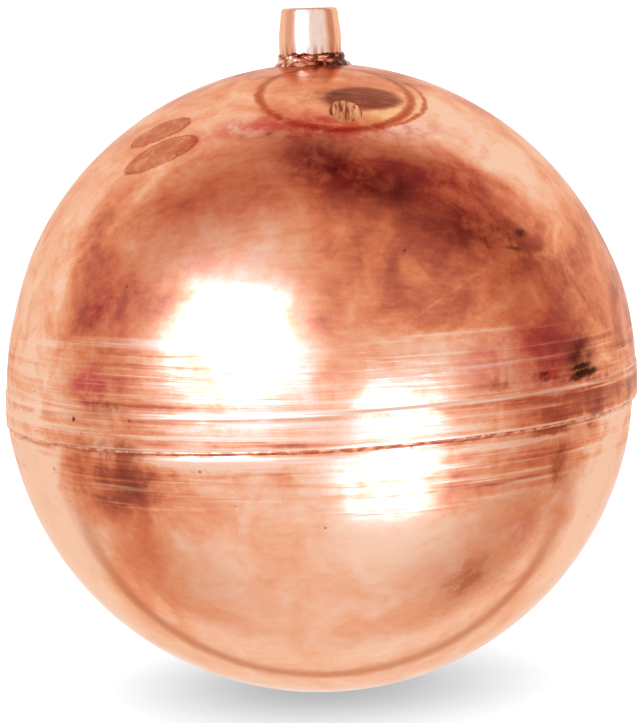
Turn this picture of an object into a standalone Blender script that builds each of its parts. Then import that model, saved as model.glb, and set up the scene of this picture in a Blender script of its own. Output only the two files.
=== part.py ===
"""A spun copper float ball with a threaded spud, for a float-operated valve.

Run with: blender --background --python part.py
Units are metres, +Z is up. The origin is the centre of the spud's mouth, where the float
rod screws in, and the whole ball hangs below it on the Z axis.
"""

import math

import bmesh
import bpy
from mathutils import Matrix

MM = 0.001

# Ball: a 6 in trade size, spun from 0.6 mm sheet.
BALL_RADIUS = 76.2 * MM
WALL = 0.6 * MM
CLEAR = 0.2 * MM  # joint clearance that the filler metal takes up

# Spud: a turned boss, tapped 5/16-18 UNC.
SPUD_HEIGHT = 13.3 * MM
SPUD_TOP_RADIUS = 6.8 * MM
SPUD_BASE_RADIUS = 7.5 * MM
SPUD_TAPER_LENGTH = 6.8 * MM  # straight below this, measured from the mouth
SPUD_CORNER = 0.9 * MM
SHANK_RADIUS = 5.5 * MM
TAIL_RADIUS = 7.9 * MM
TAIL_THICKNESS = 1.3 * MM
TAIL_ROUND = 0.4 * MM
THREAD_PITCH = 25.4 / 18 * MM
THREAD_MAJOR_RADIUS = 3.97 * MM
THREAD_MINOR_RADIUS = 3.28 * MM
BORE_DEPTH = 12.4 * MM
THREAD_DEPTH = 11.2 * MM
MOUTH_RADIUS = 4.4 * MM
DRILL_POINT = math.radians(31)  # slope of a 118 degree drill's point

# Lap joint: the upper shell's edge is swaged out into a band that holds the lower shell.
BAND_RADIUS = BALL_RADIUS + 0.3 * MM
BAND_TOP = 1.5 * MM  # above the ball's centre
BAND_BOTTOM = -6.0 * MM
JOGGLE_LENGTH = 1.0 * MM
LOWER_RADIUS = BAND_RADIUS - WALL - CLEAR
LOWER_DROP = 0.3 * MM  # the lower shell's centre is this far below the ball's
SPIGOT_TOP = 0.6 * MM
SEAM_FILLET_HEIGHT = 0.7 * MM

# Backing disc inside the ball, and the brazed beads on both sides of the wall.
DISC_RADIUS = 15.0 * MM
DISC_THICKNESS = 0.8 * MM
DISC_GAP = 0.3 * MM
BEAD_HEIGHT = 2.6 * MM
BEAD_WIDTH = 1.2 * MM
BEAD_HOLLOW = 1.7  # how hollow the bead's slope is; 1 would be straight
INNER_BEAD_HEIGHT = 1.2 * MM
INNER_BEAD_WIDTH = 1.4 * MM

# Vent: a pinhole for the hot air of the last soldering, closed with a drop of solder.
VENT_RADIUS = 0.6 * MM
VENT_STEM_RADIUS = 0.35 * MM
VENT_DROP_RADIUS = 3.0 * MM
VENT_DROP_HEIGHT = 0.6 * MM
VENT_POLAR = math.radians(29.5)  # from the spud's axis
VENT_AZIMUTH = math.radians(11)  # from -Y towards +X

SHELL_SEGMENTS = 48
SPUD_SEGMENTS = 32
DROP_SEGMENTS = 12
SHELL_STEP = math.radians(7.5)
THREAD_STEPS = 24  # sections in a turn of the thread
MERGE = 0.001 * MM

POLE_Z = -SPUD_HEIGHT
CENTRE_Z = POLE_Z - BALL_RADIUS
HOLE_RADIUS = SHANK_RADIUS + 1.5 * CLEAR
JOGGLE_TOP = BAND_TOP + JOGGLE_LENGTH

COPPER = ("copper", (0.86, 0.45, 0.30), 0.28)
TURNED_COPPER = ("turned_copper", (0.90, 0.55, 0.40), 0.20)
BRAZE = ("braze", (0.45, 0.20, 0.13), 0.55)
SOLDER = ("solder", (0.80, 0.55, 0.44), 0.40)


def sphere_z(radius, at, centre=CENTRE_Z):
    """Height of a sphere's upper side, at a distance from the Z axis."""
    return centre + math.sqrt(radius * radius - at * at)


def arc(radius, start, end, centre=(0.0, CENTRE_Z), step=SHELL_STEP):
    """Profile points on a circle, between two angles measured from +Z towards +X."""
    count = max(2, math.ceil(abs(end - start) / step))
    angles = [start + (end - start) * i / count for i in range(count + 1)]
    return [(centre[0] + radius * math.sin(a), centre[1] + radius * math.cos(a)) for a in angles]


def material_of(look):
    name, colour, roughness = look
    material = bpy.data.materials.get(name)
    if material is None:
        material = bpy.data.materials.new(name)
        material.use_nodes = True
        shader = material.node_tree.nodes["Principled BSDF"]
        shader.inputs["Base Color"].default_value = (*colour, 1.0)
        shader.inputs["Roughness"].default_value = roughness
        shader.inputs["Metallic"].default_value = 1.0
        material.diffuse_color = (*colour, 1.0)
    return material


def add_object(name, mesh, collection, look=None):
    obj = bpy.data.objects.new(name, mesh)
    collection.objects.link(obj)
    if look:
        mesh.materials.append(material_of(look))
    return obj


def turned(name, profile, collection, look=None, segments=SHELL_SEGMENTS, closed=False):
    """Turns a profile of (radius, height) points about Z. The outer side runs top to bottom."""
    count = len(profile)
    edges = [(i, i + 1) for i in range(count - 1)]
    if closed:
        edges.append((count - 1, 0))
    mesh = bpy.data.meshes.new(name)
    mesh.from_pydata([(r, 0.0, z) for r, z in profile], edges, [])
    obj = add_object(name, mesh, collection, look)
    screw = obj.modifiers.new("turn", "SCREW")
    screw.axis = "Z"
    screw.angle = math.tau
    screw.steps = screw.render_steps = segments
    screw.use_merge_vertices = True
    screw.merge_threshold = MERGE
    screw.use_smooth_shade = True
    return obj


def thicken(obj, thickness):
    """Gives a turned surface its wall, on the inside."""
    solidify = obj.modifiers.new("wall", "SOLIDIFY")
    solidify.thickness = thickness
    solidify.offset = -1.0
    solidify.use_even_offset = True


def cut(obj, cutter):
    cutter.hide_render = True
    cutter.display_type = "WIRE"
    boolean = obj.modifiers.new("cut", "BOOLEAN")
    boolean.operation = "DIFFERENCE"
    boolean.solver = "EXACT"
    boolean.object = cutter


def vent_matrix():
    """Places a shape made at the origin on the upper shell's outside, at the vent."""
    turn = Matrix.Rotation(VENT_AZIMUTH, 4, "Z") @ Matrix.Rotation(VENT_POLAR, 4, "X")
    return Matrix.Translation((0, 0, CENTRE_Z)) @ turn @ Matrix.Translation((0, 0, BALL_RADIUS))


def make_vent_cutter(cutters):
    mesh = bpy.data.meshes.new("vent_cutter")
    shape = bmesh.new()
    bmesh.ops.create_cone(
        shape,
        cap_ends=True,
        segments=DROP_SEGMENTS,
        radius1=VENT_RADIUS,
        radius2=VENT_RADIUS,
        depth=8 * WALL,
    )
    shape.to_mesh(mesh)
    shape.free()
    cutter = add_object("vent_cutter", mesh, cutters)
    cutter.matrix_world = vent_matrix()
    return cutter


def make_upper_shell(parts, cutters):
    """A dome with the spud's hole at its pole, ending in the swaged band."""
    joggle_angle = math.acos(JOGGLE_TOP / BALL_RADIUS)
    dome = arc(BALL_RADIUS, math.asin(HOLE_RADIUS / BALL_RADIUS), joggle_angle)
    middle = (BALL_RADIUS + BAND_RADIUS) / 2
    band = [
        (middle, CENTRE_Z + BAND_TOP + 0.45 * JOGGLE_LENGTH),
        (BAND_RADIUS, CENTRE_Z + BAND_TOP),
        (BAND_RADIUS, CENTRE_Z + BAND_BOTTOM),
    ]
    shell = turned("upper_shell", dome + band, parts, COPPER)
    thicken(shell, WALL)
    cut(shell, make_vent_cutter(cutters))


def make_lower_shell(parts):
    """A bowl whose straight edge, the spigot, stands up inside the band."""
    centre = CENTRE_Z - LOWER_DROP
    spigot = [(LOWER_RADIUS, CENTRE_Z + SPIGOT_TOP)]
    bowl = arc(LOWER_RADIUS, math.radians(90), math.radians(180), (0.0, centre))
    bowl[-1] = (0.0, bowl[-1][1])
    thicken(turned("lower_shell", spigot + bowl, parts, COPPER), WALL)


def make_seam_solder(parts):
    """The fillet under the band's lip, all the way round."""
    lip = CENTRE_Z + BAND_BOTTOM - CLEAR
    bottom = lip - SEAM_FILLET_HEIGHT
    centre = CENTRE_Z - LOWER_DROP

    def bowl_radius(z):
        return math.sqrt(LOWER_RADIUS**2 - (z - centre) ** 2) + CLEAR

    profile = [
        (bowl_radius(lip), lip),
        (BAND_RADIUS - CLEAR, lip),
        (bowl_radius(bottom) + 0.3 * MM, bottom + 0.25 * MM),
        (bowl_radius(bottom), bottom),
    ]
    turned("seam_solder", profile, parts, SOLDER, closed=True)


def thread_sections():
    """The groove's trapezoid along its helix, from above the mouth to where it fades out."""
    lead_in = 0.6 * THREAD_PITCH
    turns = (THREAD_DEPTH + lead_in) / THREAD_PITCH
    fade_turns = 0.8
    inner = THREAD_MINOR_RADIUS - CLEAR
    flank = math.tan(math.radians(30))
    crest = THREAD_PITCH / 16
    count = math.ceil(turns * THREAD_STEPS)
    for i in range(count + 1):
        turn = turns * i / count
        depth = min(1.0, (turns - turn) / fade_turns)
        outer = inner + (THREAD_MAJOR_RADIUS - inner) * (0.1 + 0.9 * depth)
        half_root = crest + (outer - inner) * flank
        z = lead_in - turn * THREAD_PITCH
        corners = ((inner, half_root), (outer, crest), (outer, -crest), (inner, -half_root))
        yield math.tau * turn, [(r, z + rise) for r, rise in corners]


def make_thread_cutter(cutters):
    """A loft of the groove's sections, closed at both ends."""
    mesh = bpy.data.meshes.new("thread_cutter")
    shape = bmesh.new()
    rings = []
    for angle, corners in thread_sections():
        cos, sin = math.cos(angle), math.sin(angle)
        rings.append([shape.verts.new((r * cos, r * sin, z)) for r, z in corners])
    for first, second in zip(rings, rings[1:]):
        for i in range(4):
            j = (i + 1) % 4
            shape.faces.new((first[i], first[j], second[j], second[i]))
    shape.faces.new(reversed(rings[0]))
    shape.faces.new(rings[-1])
    bmesh.ops.recalc_face_normals(shape, faces=shape.faces)
    shape.to_mesh(mesh)
    shape.free()
    return add_object("thread_cutter", mesh, cutters)


def make_spud(parts, cutters):
    """A turned boss with a blind tapped bore. Its shank goes through the wall and the disc."""
    shank_end = sphere_z(BALL_RADIUS - WALL - DISC_GAP - DISC_THICKNESS, TAIL_RADIUS) - 1.5 * CLEAR
    tail_end = shank_end - TAIL_THICKNESS
    corner_centre = (SPUD_TOP_RADIUS - SPUD_CORNER, -SPUD_CORNER)
    tail_centre = (TAIL_RADIUS - TAIL_ROUND, tail_end + TAIL_ROUND)
    quarter, corner_step = math.radians(90), math.radians(30)
    bore = [
        (0.0, -BORE_DEPTH - THREAD_MINOR_RADIUS * math.tan(DRILL_POINT)),
        (THREAD_MINOR_RADIUS, -BORE_DEPTH),
        (THREAD_MINOR_RADIUS, -(MOUTH_RADIUS - THREAD_MINOR_RADIUS)),
        (MOUTH_RADIUS, 0.0),
    ]
    body = arc(SPUD_CORNER, 0, quarter, corner_centre, corner_step)
    shank = [
        (SPUD_BASE_RADIUS, -SPUD_TAPER_LENGTH),
        (SPUD_BASE_RADIUS, POLE_Z),
        (SHANK_RADIUS, POLE_Z),
        (SHANK_RADIUS, shank_end),
        (TAIL_RADIUS, shank_end),
    ]
    tail = arc(TAIL_ROUND, quarter, 2 * quarter, tail_centre, corner_step) + [(0.0, tail_end)]
    spud = turned("spud", bore + body + shank + tail, parts, TURNED_COPPER, SPUD_SEGMENTS)
    cut(spud, make_thread_cutter(cutters))


def make_spud_braze(parts):
    """The bead in the corner between the spud and the ball, outside."""
    top = POLE_Z + BEAD_HEIGHT
    inner = SPUD_BASE_RADIUS + CLEAR
    outer = inner + BEAD_WIDTH
    foot = sphere_z(BALL_RADIUS + CLEAR, outer)
    steps = 5
    profile = [
        (inner + BEAD_WIDTH * (i / steps) ** BEAD_HOLLOW, top + (foot - top) * i / steps)
        for i in range(steps + 1)
    ]
    profile.append((inner, sphere_z(BALL_RADIUS + CLEAR, inner)))
    turned("spud_braze", profile, parts, BRAZE, SPUD_SEGMENTS, closed=True)


def make_backing_disc(parts):
    """A dished doubler under the wall, which the shank clamps."""
    radius = BALL_RADIUS - WALL - DISC_GAP
    start, end = math.asin(HOLE_RADIUS / radius), math.asin(DISC_RADIUS / radius)
    disc = turned("backing_disc", arc(radius, start, end, step=(end - start) / 3), parts, COPPER)
    thicken(disc, DISC_THICKNESS)


def make_inner_braze(parts):
    """The fillet between the shank's peened tail and the disc, inside."""
    under = BALL_RADIUS - WALL - DISC_GAP - DISC_THICKNESS - CLEAR
    inner = TAIL_RADIUS + CLEAR
    outer = inner + INNER_BEAD_WIDTH
    top = sphere_z(under, inner)
    profile = [
        (inner, top),
        (outer, sphere_z(under, outer)),
        (inner + 0.35 * INNER_BEAD_WIDTH, top - 0.45 * INNER_BEAD_HEIGHT),
        (inner, top - INNER_BEAD_HEIGHT),
    ]
    turned("inner_braze", profile, parts, BRAZE, SPUD_SEGMENTS, closed=True)


def make_vent_seal(parts):
    """A low drop of solder on the wall, with a stem in the pinhole."""
    foot = CLEAR
    drop = [
        (VENT_DROP_RADIUS * math.sin(a), foot + VENT_DROP_HEIGHT * math.cos(a))
        for a in (math.radians(22.5 * i) for i in range(5))
    ]
    stem = [(VENT_STEM_RADIUS, foot), (VENT_STEM_RADIUS, -WALL), (0.0, -WALL)]
    seal = turned("vent_seal", drop + stem, parts, SOLDER, DROP_SEGMENTS)
    seal.matrix_world = vent_matrix()


def main():
    for obj in list(bpy.data.objects):
        bpy.data.objects.remove(obj)
    parts = bpy.data.collections.new("float_ball")
    cutters = bpy.data.collections.new("cutters")
    for collection in (parts, cutters):
        bpy.context.scene.collection.children.link(collection)
    make_upper_shell(parts, cutters)
    make_lower_shell(parts)
    make_seam_solder(parts)
    make_spud(parts, cutters)
    make_spud_braze(parts)
    make_backing_disc(parts)
    make_inner_braze(parts)
    make_vent_seal(parts)


main()
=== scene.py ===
"""The looks of a spun copper float ball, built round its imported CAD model.

Lengths are metres and angles degrees, unless a name or comment says otherwise. A place on the
ball is (lon, lat): lon runs from -Y, the camera's side, towards +X, and lat runs up from the
ball's middle.
"""

import math
import random

import bmesh
import bpy
import numpy as np
from mathutils import Matrix, Vector, noise


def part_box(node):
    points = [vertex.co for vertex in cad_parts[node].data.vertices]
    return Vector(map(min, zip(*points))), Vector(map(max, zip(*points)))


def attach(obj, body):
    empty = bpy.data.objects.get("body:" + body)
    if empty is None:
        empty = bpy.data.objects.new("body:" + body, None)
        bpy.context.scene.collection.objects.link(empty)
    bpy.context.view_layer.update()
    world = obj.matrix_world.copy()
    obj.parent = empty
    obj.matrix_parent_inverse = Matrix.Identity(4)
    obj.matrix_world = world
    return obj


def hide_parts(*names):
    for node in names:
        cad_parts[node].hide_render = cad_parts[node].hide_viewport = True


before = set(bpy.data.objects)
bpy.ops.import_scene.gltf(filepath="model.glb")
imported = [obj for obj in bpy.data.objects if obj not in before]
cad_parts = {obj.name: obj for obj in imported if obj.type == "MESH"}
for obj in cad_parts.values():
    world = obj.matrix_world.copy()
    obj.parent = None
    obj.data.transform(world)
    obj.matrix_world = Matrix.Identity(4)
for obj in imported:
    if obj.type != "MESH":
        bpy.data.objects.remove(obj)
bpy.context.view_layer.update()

MM = 0.001

# Sizes read from the frame.
shell_low, shell_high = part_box("upper_shell")
bowl_low, bowl_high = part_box("lower_shell")
solder_low, solder_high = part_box("seam_solder")
spud_low, spud_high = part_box("spud")
braze_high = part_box("spud_braze")[1]
vent_low, vent_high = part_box("vent_seal")
BAND_RADIUS = (shell_high.x - shell_low.x) / 2
BAND_BOTTOM = shell_low.z
LOWER_RADIUS = (bowl_high.x - bowl_low.x) / 2
LOWER_CENTRE_Z = bowl_low.z + LOWER_RADIUS
SPIGOT_TOP = bowl_high.z
FLOOR_Z = bowl_low.z
TAIL_RADIUS = (spud_high.x - spud_low.x) / 2

# Sizes of the CAD model that its boxes don't give.
WALL = 0.6 * MM
BALL_RADIUS = BAND_RADIUS - 0.3 * MM
CENTRE_Z = LOWER_CENTRE_Z + 0.3 * MM
BAND_TOP = CENTRE_Z + 1.5 * MM
JOGGLE_LENGTH = 1.0 * MM
POLE_Z = CENTRE_Z + BALL_RADIUS
SPUD_TOP_RADIUS = 6.8 * MM
SPUD_BASE_RADIUS = 7.5 * MM
SPUD_TAPER_LENGTH = 6.8 * MM
SPUD_CORNER = 0.9 * MM
SHANK_RADIUS = 5.5 * MM
MOUTH_RADIUS = 4.4 * MM
MINOR_RADIUS = 3.28 * MM
MAJOR_RADIUS = 3.97 * MM
PITCH = 25.4 / 18 * MM
THREAD_DEPTH = 11.2 * MM
BORE_DEPTH = 12.4 * MM
DRILL_SLOPE = 31  # degrees, of the bore's conical floor

# Small faults of the real thing, all under a millimetre.
BAND_TILT = 1.1  # degrees, rising towards +X
BOWL_SHIFT = 0.35 * MM  # the lower half sits this far towards -X
BOWL_SWELL = 0.35 * MM  # below the lip the bowl swells out to this much over its spigot
BAND_WAVE = 0.18 * MM  # how far the band's edges wander up and down
LIP_ROUND = 0.18 * MM
BRUSHED_LAT = 16.0  # emery marks reach this far above and below the middle

# Points round the Z axis.
SHELL_SEGMENTS = 360
FILLET_SEGMENTS = 720
SPUD_SEGMENTS = 128
BEAD_SEGMENTS = 288
DROP_SEGMENTS = 96

CENTRE = Vector((0, 0, CENTRE_Z))


def on_ball(lon, lat, radius=1.0):
    """A direction, or a point relative to the ball's centre."""
    lon, lat = math.radians(lon), math.radians(lat)
    x, y = math.sin(lon) * math.cos(lat), -math.cos(lon) * math.cos(lat)
    return Vector((radius * x, radius * y, radius * math.sin(lat)))


def wobble(points, scale, seed=0.0, octaves=3):
    """Smooth noise from -1 to 1 at each point of an (n, 3) array. scale is its wavelength."""
    shift = Vector((seed, 2 * seed, 3 * seed))
    return np.array(
        [noise.fractal(Vector(p) / scale + shift, 0.8, 2.1, octaves) for p in points]
    )


def ring_wobble(angle, scale, seed, octaves, height=0.0):
    """Noise round the Z axis that closes on itself, for a circle of radius 1."""
    points = np.stack([np.cos(angle), np.sin(angle), height + 0 * angle], -1)
    return wobble(points.reshape(-1, 3), scale, seed, octaves).reshape(angle.shape)


def smooth_step(low, high, x):
    t = np.clip((x - low) / (high - low), 0, 1)
    return t * t * (3 - 2 * t)


# ---- meshes


def new_piece(name, shape, replaced, material):
    """A visible piece made of (vertices, faces), which stands for the CAD node replaced."""
    vertices, faces = shape
    mesh = bpy.data.meshes.new(name)
    mesh.from_pydata(vertices, [], faces)
    mesh.validate()
    piece = bpy.data.objects.new(name, mesh)
    bpy.context.scene.collection.objects.link(piece)
    mesh.shade_smooth()
    mesh.set_sharp_from_angle(angle=math.radians(50))
    mesh.materials.append(material)
    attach(piece, "root")
    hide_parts(replaced)


def lathe(profile, segments, form, closed=True):
    """Vertices and faces of a profile of (radius, height) points, turned about Z.

    The outer side runs top to bottom. A point with no radius becomes a pole. form(r, z, angle)
    returns the radius and height arrays after it has shaped them.
    """
    radii, heights = np.array(profile).T
    angle = np.arange(segments) * math.tau / segments
    r = np.repeat(radii[:, None], segments, 1)
    z = np.repeat(heights[:, None], segments, 1)
    r, z = form(r, z, np.repeat(angle[None], len(radii), 0))
    r[radii == 0] = 0
    vertices, start = [], []
    for i, radius in enumerate(radii):
        start.append(len(vertices))
        if radius == 0:
            vertices.append((0.0, 0.0, float(z[i].mean())))
            continue
        x, y = r[i] * np.sin(angle), -r[i] * np.cos(angle)
        vertices += zip(x.tolist(), y.tolist(), z[i].tolist())
    faces = []
    rows = len(radii) if closed else len(radii) - 1
    for i in range(rows):
        j = (i + 1) % len(radii)
        a, b = start[i], start[j]
        for k in range(segments):
            n = (k + 1) % segments
            if radii[i] == 0:
                faces.append((a, b + k, b + n))
            elif radii[j] == 0:
                faces.append((a + k, b, a + n))
            else:
                faces.append((a + k, b + k, b + n, a + n))
    return vertices, faces


def arc_points(radius, start, end, step, centre=(0.0, CENTRE_Z)):
    """Profile points on a circle between two polar angles in degrees, measured from +Z."""
    count = max(1, round(abs(end - start) / step))
    angles = [math.radians(start + (end - start) * i / count) for i in range(count + 1)]
    return [(centre[0] + radius * math.sin(a), centre[1] + radius * math.cos(a)) for a in angles]


# Dents, and bumps where depth is below 0: (lon, lat, radius, depth), the last two in mm.
DENTS = (
    (-88, 15, 17, 0.55), (88, 15, 17, -0.45), (-3, 9, 5, 0.05), (14, 33, 9, 0.07),
    (-30, 38, 12, 0.06), (52, 15, 10, 0.1), (36, -30, 9, 0.08), (-48, -24, 8, 0.07),
    (110, 25, 13, 0.25), (-120, 40, 9, 0.15), (170, -35, 15, 0.3), (-150, -12, 6, 0.12),
    (75, 55, 8, 0.1),
)


def shell_relief(points):
    """How far the sheet lies out of true at each point, along its normal."""
    at = points - np.array(CENTRE)
    depth = 0.070 * MM * wobble(at, 45 * MM, 3.1, 2)
    depth += 0.012 * MM * wobble(at, 13 * MM, 7.7, 2)
    for lon, lat, radius, deep in DENTS:
        away = np.linalg.norm(at - np.array(on_ball(lon, lat, BALL_RADIUS)), axis=1)
        depth -= deep * MM * np.exp(-((away / (radius * MM)) ** 2) * 2)
    return depth


def turned_relief(r, z, angle):
    points = np.stack([r * np.sin(angle), -r * np.cos(angle), z], -1)
    return shell_relief(points.reshape(-1, 3)).reshape(r.shape)


def band_rise(r, angle):
    """How far the tilt and the waviness of hand work lift the band's edges."""
    tilt = r * np.sin(angle) * math.tan(math.radians(BAND_TILT))
    return tilt + ring_wobble(angle, 0.45, 1.7, 2) * BAND_WAVE


def near_seam(at_z):
    """1 at the band, fading to 0 where the shells are plain balls."""
    return 1 - smooth_step(4 * MM, 16 * MM, np.abs(at_z + 2 * MM))


def shaped_shell(r, z, angle):
    """A form for lathe: dents the sheet, and tilts and roughens the band and the lip."""
    at_z = z - CENTRE_Z
    grown = 1 + turned_relief(r, z, angle) / np.hypot(r, at_z)
    r, z = r * grown, CENTRE_Z + at_z * grown
    ripple = ring_wobble(angle, 0.06, 5.2, 2) * 0.05 * MM
    return r, z + near_seam(at_z) * (band_rise(r, angle) + ripple)


def make_upper_shell(material):
    """The dome, its swaged band and its lip, as one sheet with two sides."""
    hole = math.degrees(math.asin((SHANK_RADIUS + 0.3 * MM) / BALL_RADIUS))
    joggle_top = BAND_TOP + JOGGLE_LENGTH
    joggle = math.degrees(math.acos((joggle_top - CENTRE_Z) / BALL_RADIUS))
    brushed = 90 - BRUSHED_LAT - 2
    dome = arc_points(BALL_RADIUS, hole, brushed, 1.1)
    dome += arc_points(BALL_RADIUS, brushed, joggle - 1.2, 0.5)[1:]
    step = BAND_RADIUS - BALL_RADIUS
    # The swaged step: how far down it and how far out of it, as shares of its size.
    curve = [(0.0, -0.10), (0.25, -0.12), (0.5, 0.10), (0.75, 0.65), (1.0, 0.98), (1.25, 1.12)]
    outer = dome + [
        (BALL_RADIUS + step * out, joggle_top - JOGGLE_LENGTH * down) for down, out in curve
    ]
    band_rows, band_bulge = 14, 0.06 * MM
    band_start = outer[-1][1] - 0.25 * MM
    for i in range(band_rows + 1):
        share = i / band_rows
        z = band_start + (BAND_BOTTOM + LIP_ROUND - band_start) * share
        outer.append((BAND_RADIUS + band_bulge * math.sin(share * math.pi), z))
    outer += [
        (BAND_RADIUS - 0.05 * MM, BAND_BOTTOM + 0.06 * MM),
        (BAND_RADIUS - LIP_ROUND, BAND_BOTTOM),
    ]
    inner_ball = BALL_RADIUS - WALL
    inner = [
        (BAND_RADIUS - WALL, BAND_BOTTOM),
        (BAND_RADIUS - WALL, BAND_TOP),
        (inner_ball, joggle_top),
    ]
    inner += arc_points(inner_ball, joggle - 2, hole, 3.0)
    shape = lathe(outer + inner, SHELL_SEGMENTS, shaped_shell)
    new_piece("upper_shell_skin", shape, "upper_shell", material)


def make_lower_shell(material):
    """The bowl, whose spigot goes up inside the band."""
    centre = (0.0, LOWER_CENTRE_Z)
    fine_end = 90 + BRUSHED_LAT + 3
    outer = arc_points(LOWER_RADIUS, 90, fine_end, 0.5, centre)
    outer += arc_points(LOWER_RADIUS, fine_end, 180, 1.1, centre)[1:]
    neck = BAND_BOTTOM - 0.2 * MM
    swollen = []
    for radius, z in outer:
        out = BOWL_SWELL * float(smooth_step(neck, neck - 2.2 * MM, z))
        swollen.append((radius * (1 + out / LOWER_RADIUS), z))
    outer = [(LOWER_RADIUS, SPIGOT_TOP)] + swollen
    outer[-1] = (0.0, outer[-1][1])
    inner = arc_points(LOWER_RADIUS - WALL, 180, 90, 3.0, centre)
    inner[0] = (0.0, inner[0][1])
    inner.append((LOWER_RADIUS - WALL, SPIGOT_TOP))
    vertices, faces = lathe(outer + inner, SHELL_SEGMENTS, shaped_shell)
    shift = Vector((-BOWL_SHIFT, 0, 0))
    shape = [tuple(Vector(v) + shift) for v in vertices], faces
    new_piece("lower_shell_skin", shape, "lower_shell", material)


def make_seam_fillet(material):
    """The solder under the lip: an uneven fillet, wiped thin in places."""
    top, bottom = solder_high.z + 0.35 * MM, solder_low.z
    inner = LOWER_RADIUS - 0.1 * MM
    profile = [
        (inner, top),
        (BAND_RADIUS - 0.12 * MM, top),
        (BAND_RADIUS + 0.01 * MM, solder_high.z),
        (BAND_RADIUS - 0.07 * MM, top - 0.45 * (top - bottom)),
        (LOWER_RADIUS + 0.28 * MM, top - 0.78 * (top - bottom)),
        (inner + 0.05 * MM, bottom),
    ]

    def form(r, z, angle):
        lumps = ring_wobble(angle, 0.16, 9.3, 3, z / (4 * MM)) * 0.02 * MM
        outside = smooth_step(inner, inner + 0.4 * MM, r)
        r = r + turned_relief(r, z, angle) + outside * lumps
        uneven = smooth_step(top, bottom, z) * ring_wobble(angle, 0.12, 4.4, 2) * 0.15 * MM
        return r, z + band_rise(r, angle) + uneven

    shape = lathe(profile, FILLET_SEGMENTS, form)
    new_piece("seam_fillet", shape, "seam_solder", material)


def spud_profile():
    """(radius, height) points from the bore's floor over the rim and down to the tail."""
    tip = -BORE_DEPTH - MINOR_RADIUS * math.tan(math.radians(DRILL_SLOPE))
    chamfer_end = -(MOUTH_RADIUS - MINOR_RADIUS)
    points = [(0.0, tip), (MINOR_RADIUS, -BORE_DEPTH)]
    bore_rows = 110
    points += [
        (MINOR_RADIUS, -BORE_DEPTH + (BORE_DEPTH + chamfer_end) * i / bore_rows)
        for i in range(1, bore_rows + 1)
    ]
    points += [(MOUTH_RADIUS - 0.12 * MM, -0.12 * MM), (MOUTH_RADIUS + 0.05 * MM, 0.0)]
    corner = (SPUD_TOP_RADIUS - SPUD_CORNER, -SPUD_CORNER)
    points += arc_points(SPUD_CORNER, 0, 86, 10, corner)
    base_z = POLE_Z - 0.4 * MM
    start_radius, start_z = points[-1]
    rows = 26
    for i in range(1, rows + 1):
        z = start_z + (base_z - start_z) * i / rows
        grown = float(smooth_step(start_z + 1.5 * MM, -SPUD_TAPER_LENGTH - 1.0 * MM, z))
        points.append((start_radius + (SPUD_BASE_RADIUS - start_radius) * grown, z))
    shank_end = spud_low.z + 1.3 * MM
    points += [
        (SHANK_RADIUS, base_z),
        (SHANK_RADIUS, shank_end),
        (TAIL_RADIUS - 0.2 * MM, shank_end),
        (TAIL_RADIUS, shank_end - 0.2 * MM),
        (TAIL_RADIUS, spud_low.z + 0.4 * MM),
        (TAIL_RADIUS - 0.4 * MM, spud_low.z),
        (0.0, spud_low.z),
    ]
    return points


def threaded(r, z, angle):
    """Cuts the helical thread into the bore, and nicks the rim a little."""
    depth = MAJOR_RADIUS - MINOR_RADIUS
    phase = (z / PITCH - angle / math.tau) % 1.0
    groove = np.clip((0.5 - np.abs(phase - 0.5)) * 2 * 1.35 - 0.16, 0, 1)
    bore = (r < MINOR_RADIUS + 0.01 * MM) & (z > -BORE_DEPTH + 0.01 * MM)
    fade = smooth_step(-THREAD_DEPTH, -THREAD_DEPTH + PITCH, z)
    chamfer = smooth_step(0.2 * MM, -1.2 * MM, z)
    r = np.where(bore, r + depth * groove * fade * (0.35 + 0.65 * chamfer), r)
    worn = ring_wobble(angle, 0.5, 6.6, 3, z / (6 * MM))
    rim = (z > -1.0 * MM) & (r > MOUTH_RADIUS)
    z = z - np.where(rim, 0.05 * MM * (1 + worn), 0)
    side = (r > SPUD_TOP_RADIUS - 0.3 * MM) & (z < 0) & (z > POLE_Z - 0.3 * MM)
    r = r + np.where(side, 0.035 * MM * worn, 0)
    return r, z


def make_spud(material):
    """The turned boss with its tapped, blind bore."""
    shape = lathe(spud_profile(), SPUD_SEGMENTS, threaded, closed=False)
    new_piece("spud_turned", shape, "spud", material)


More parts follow.
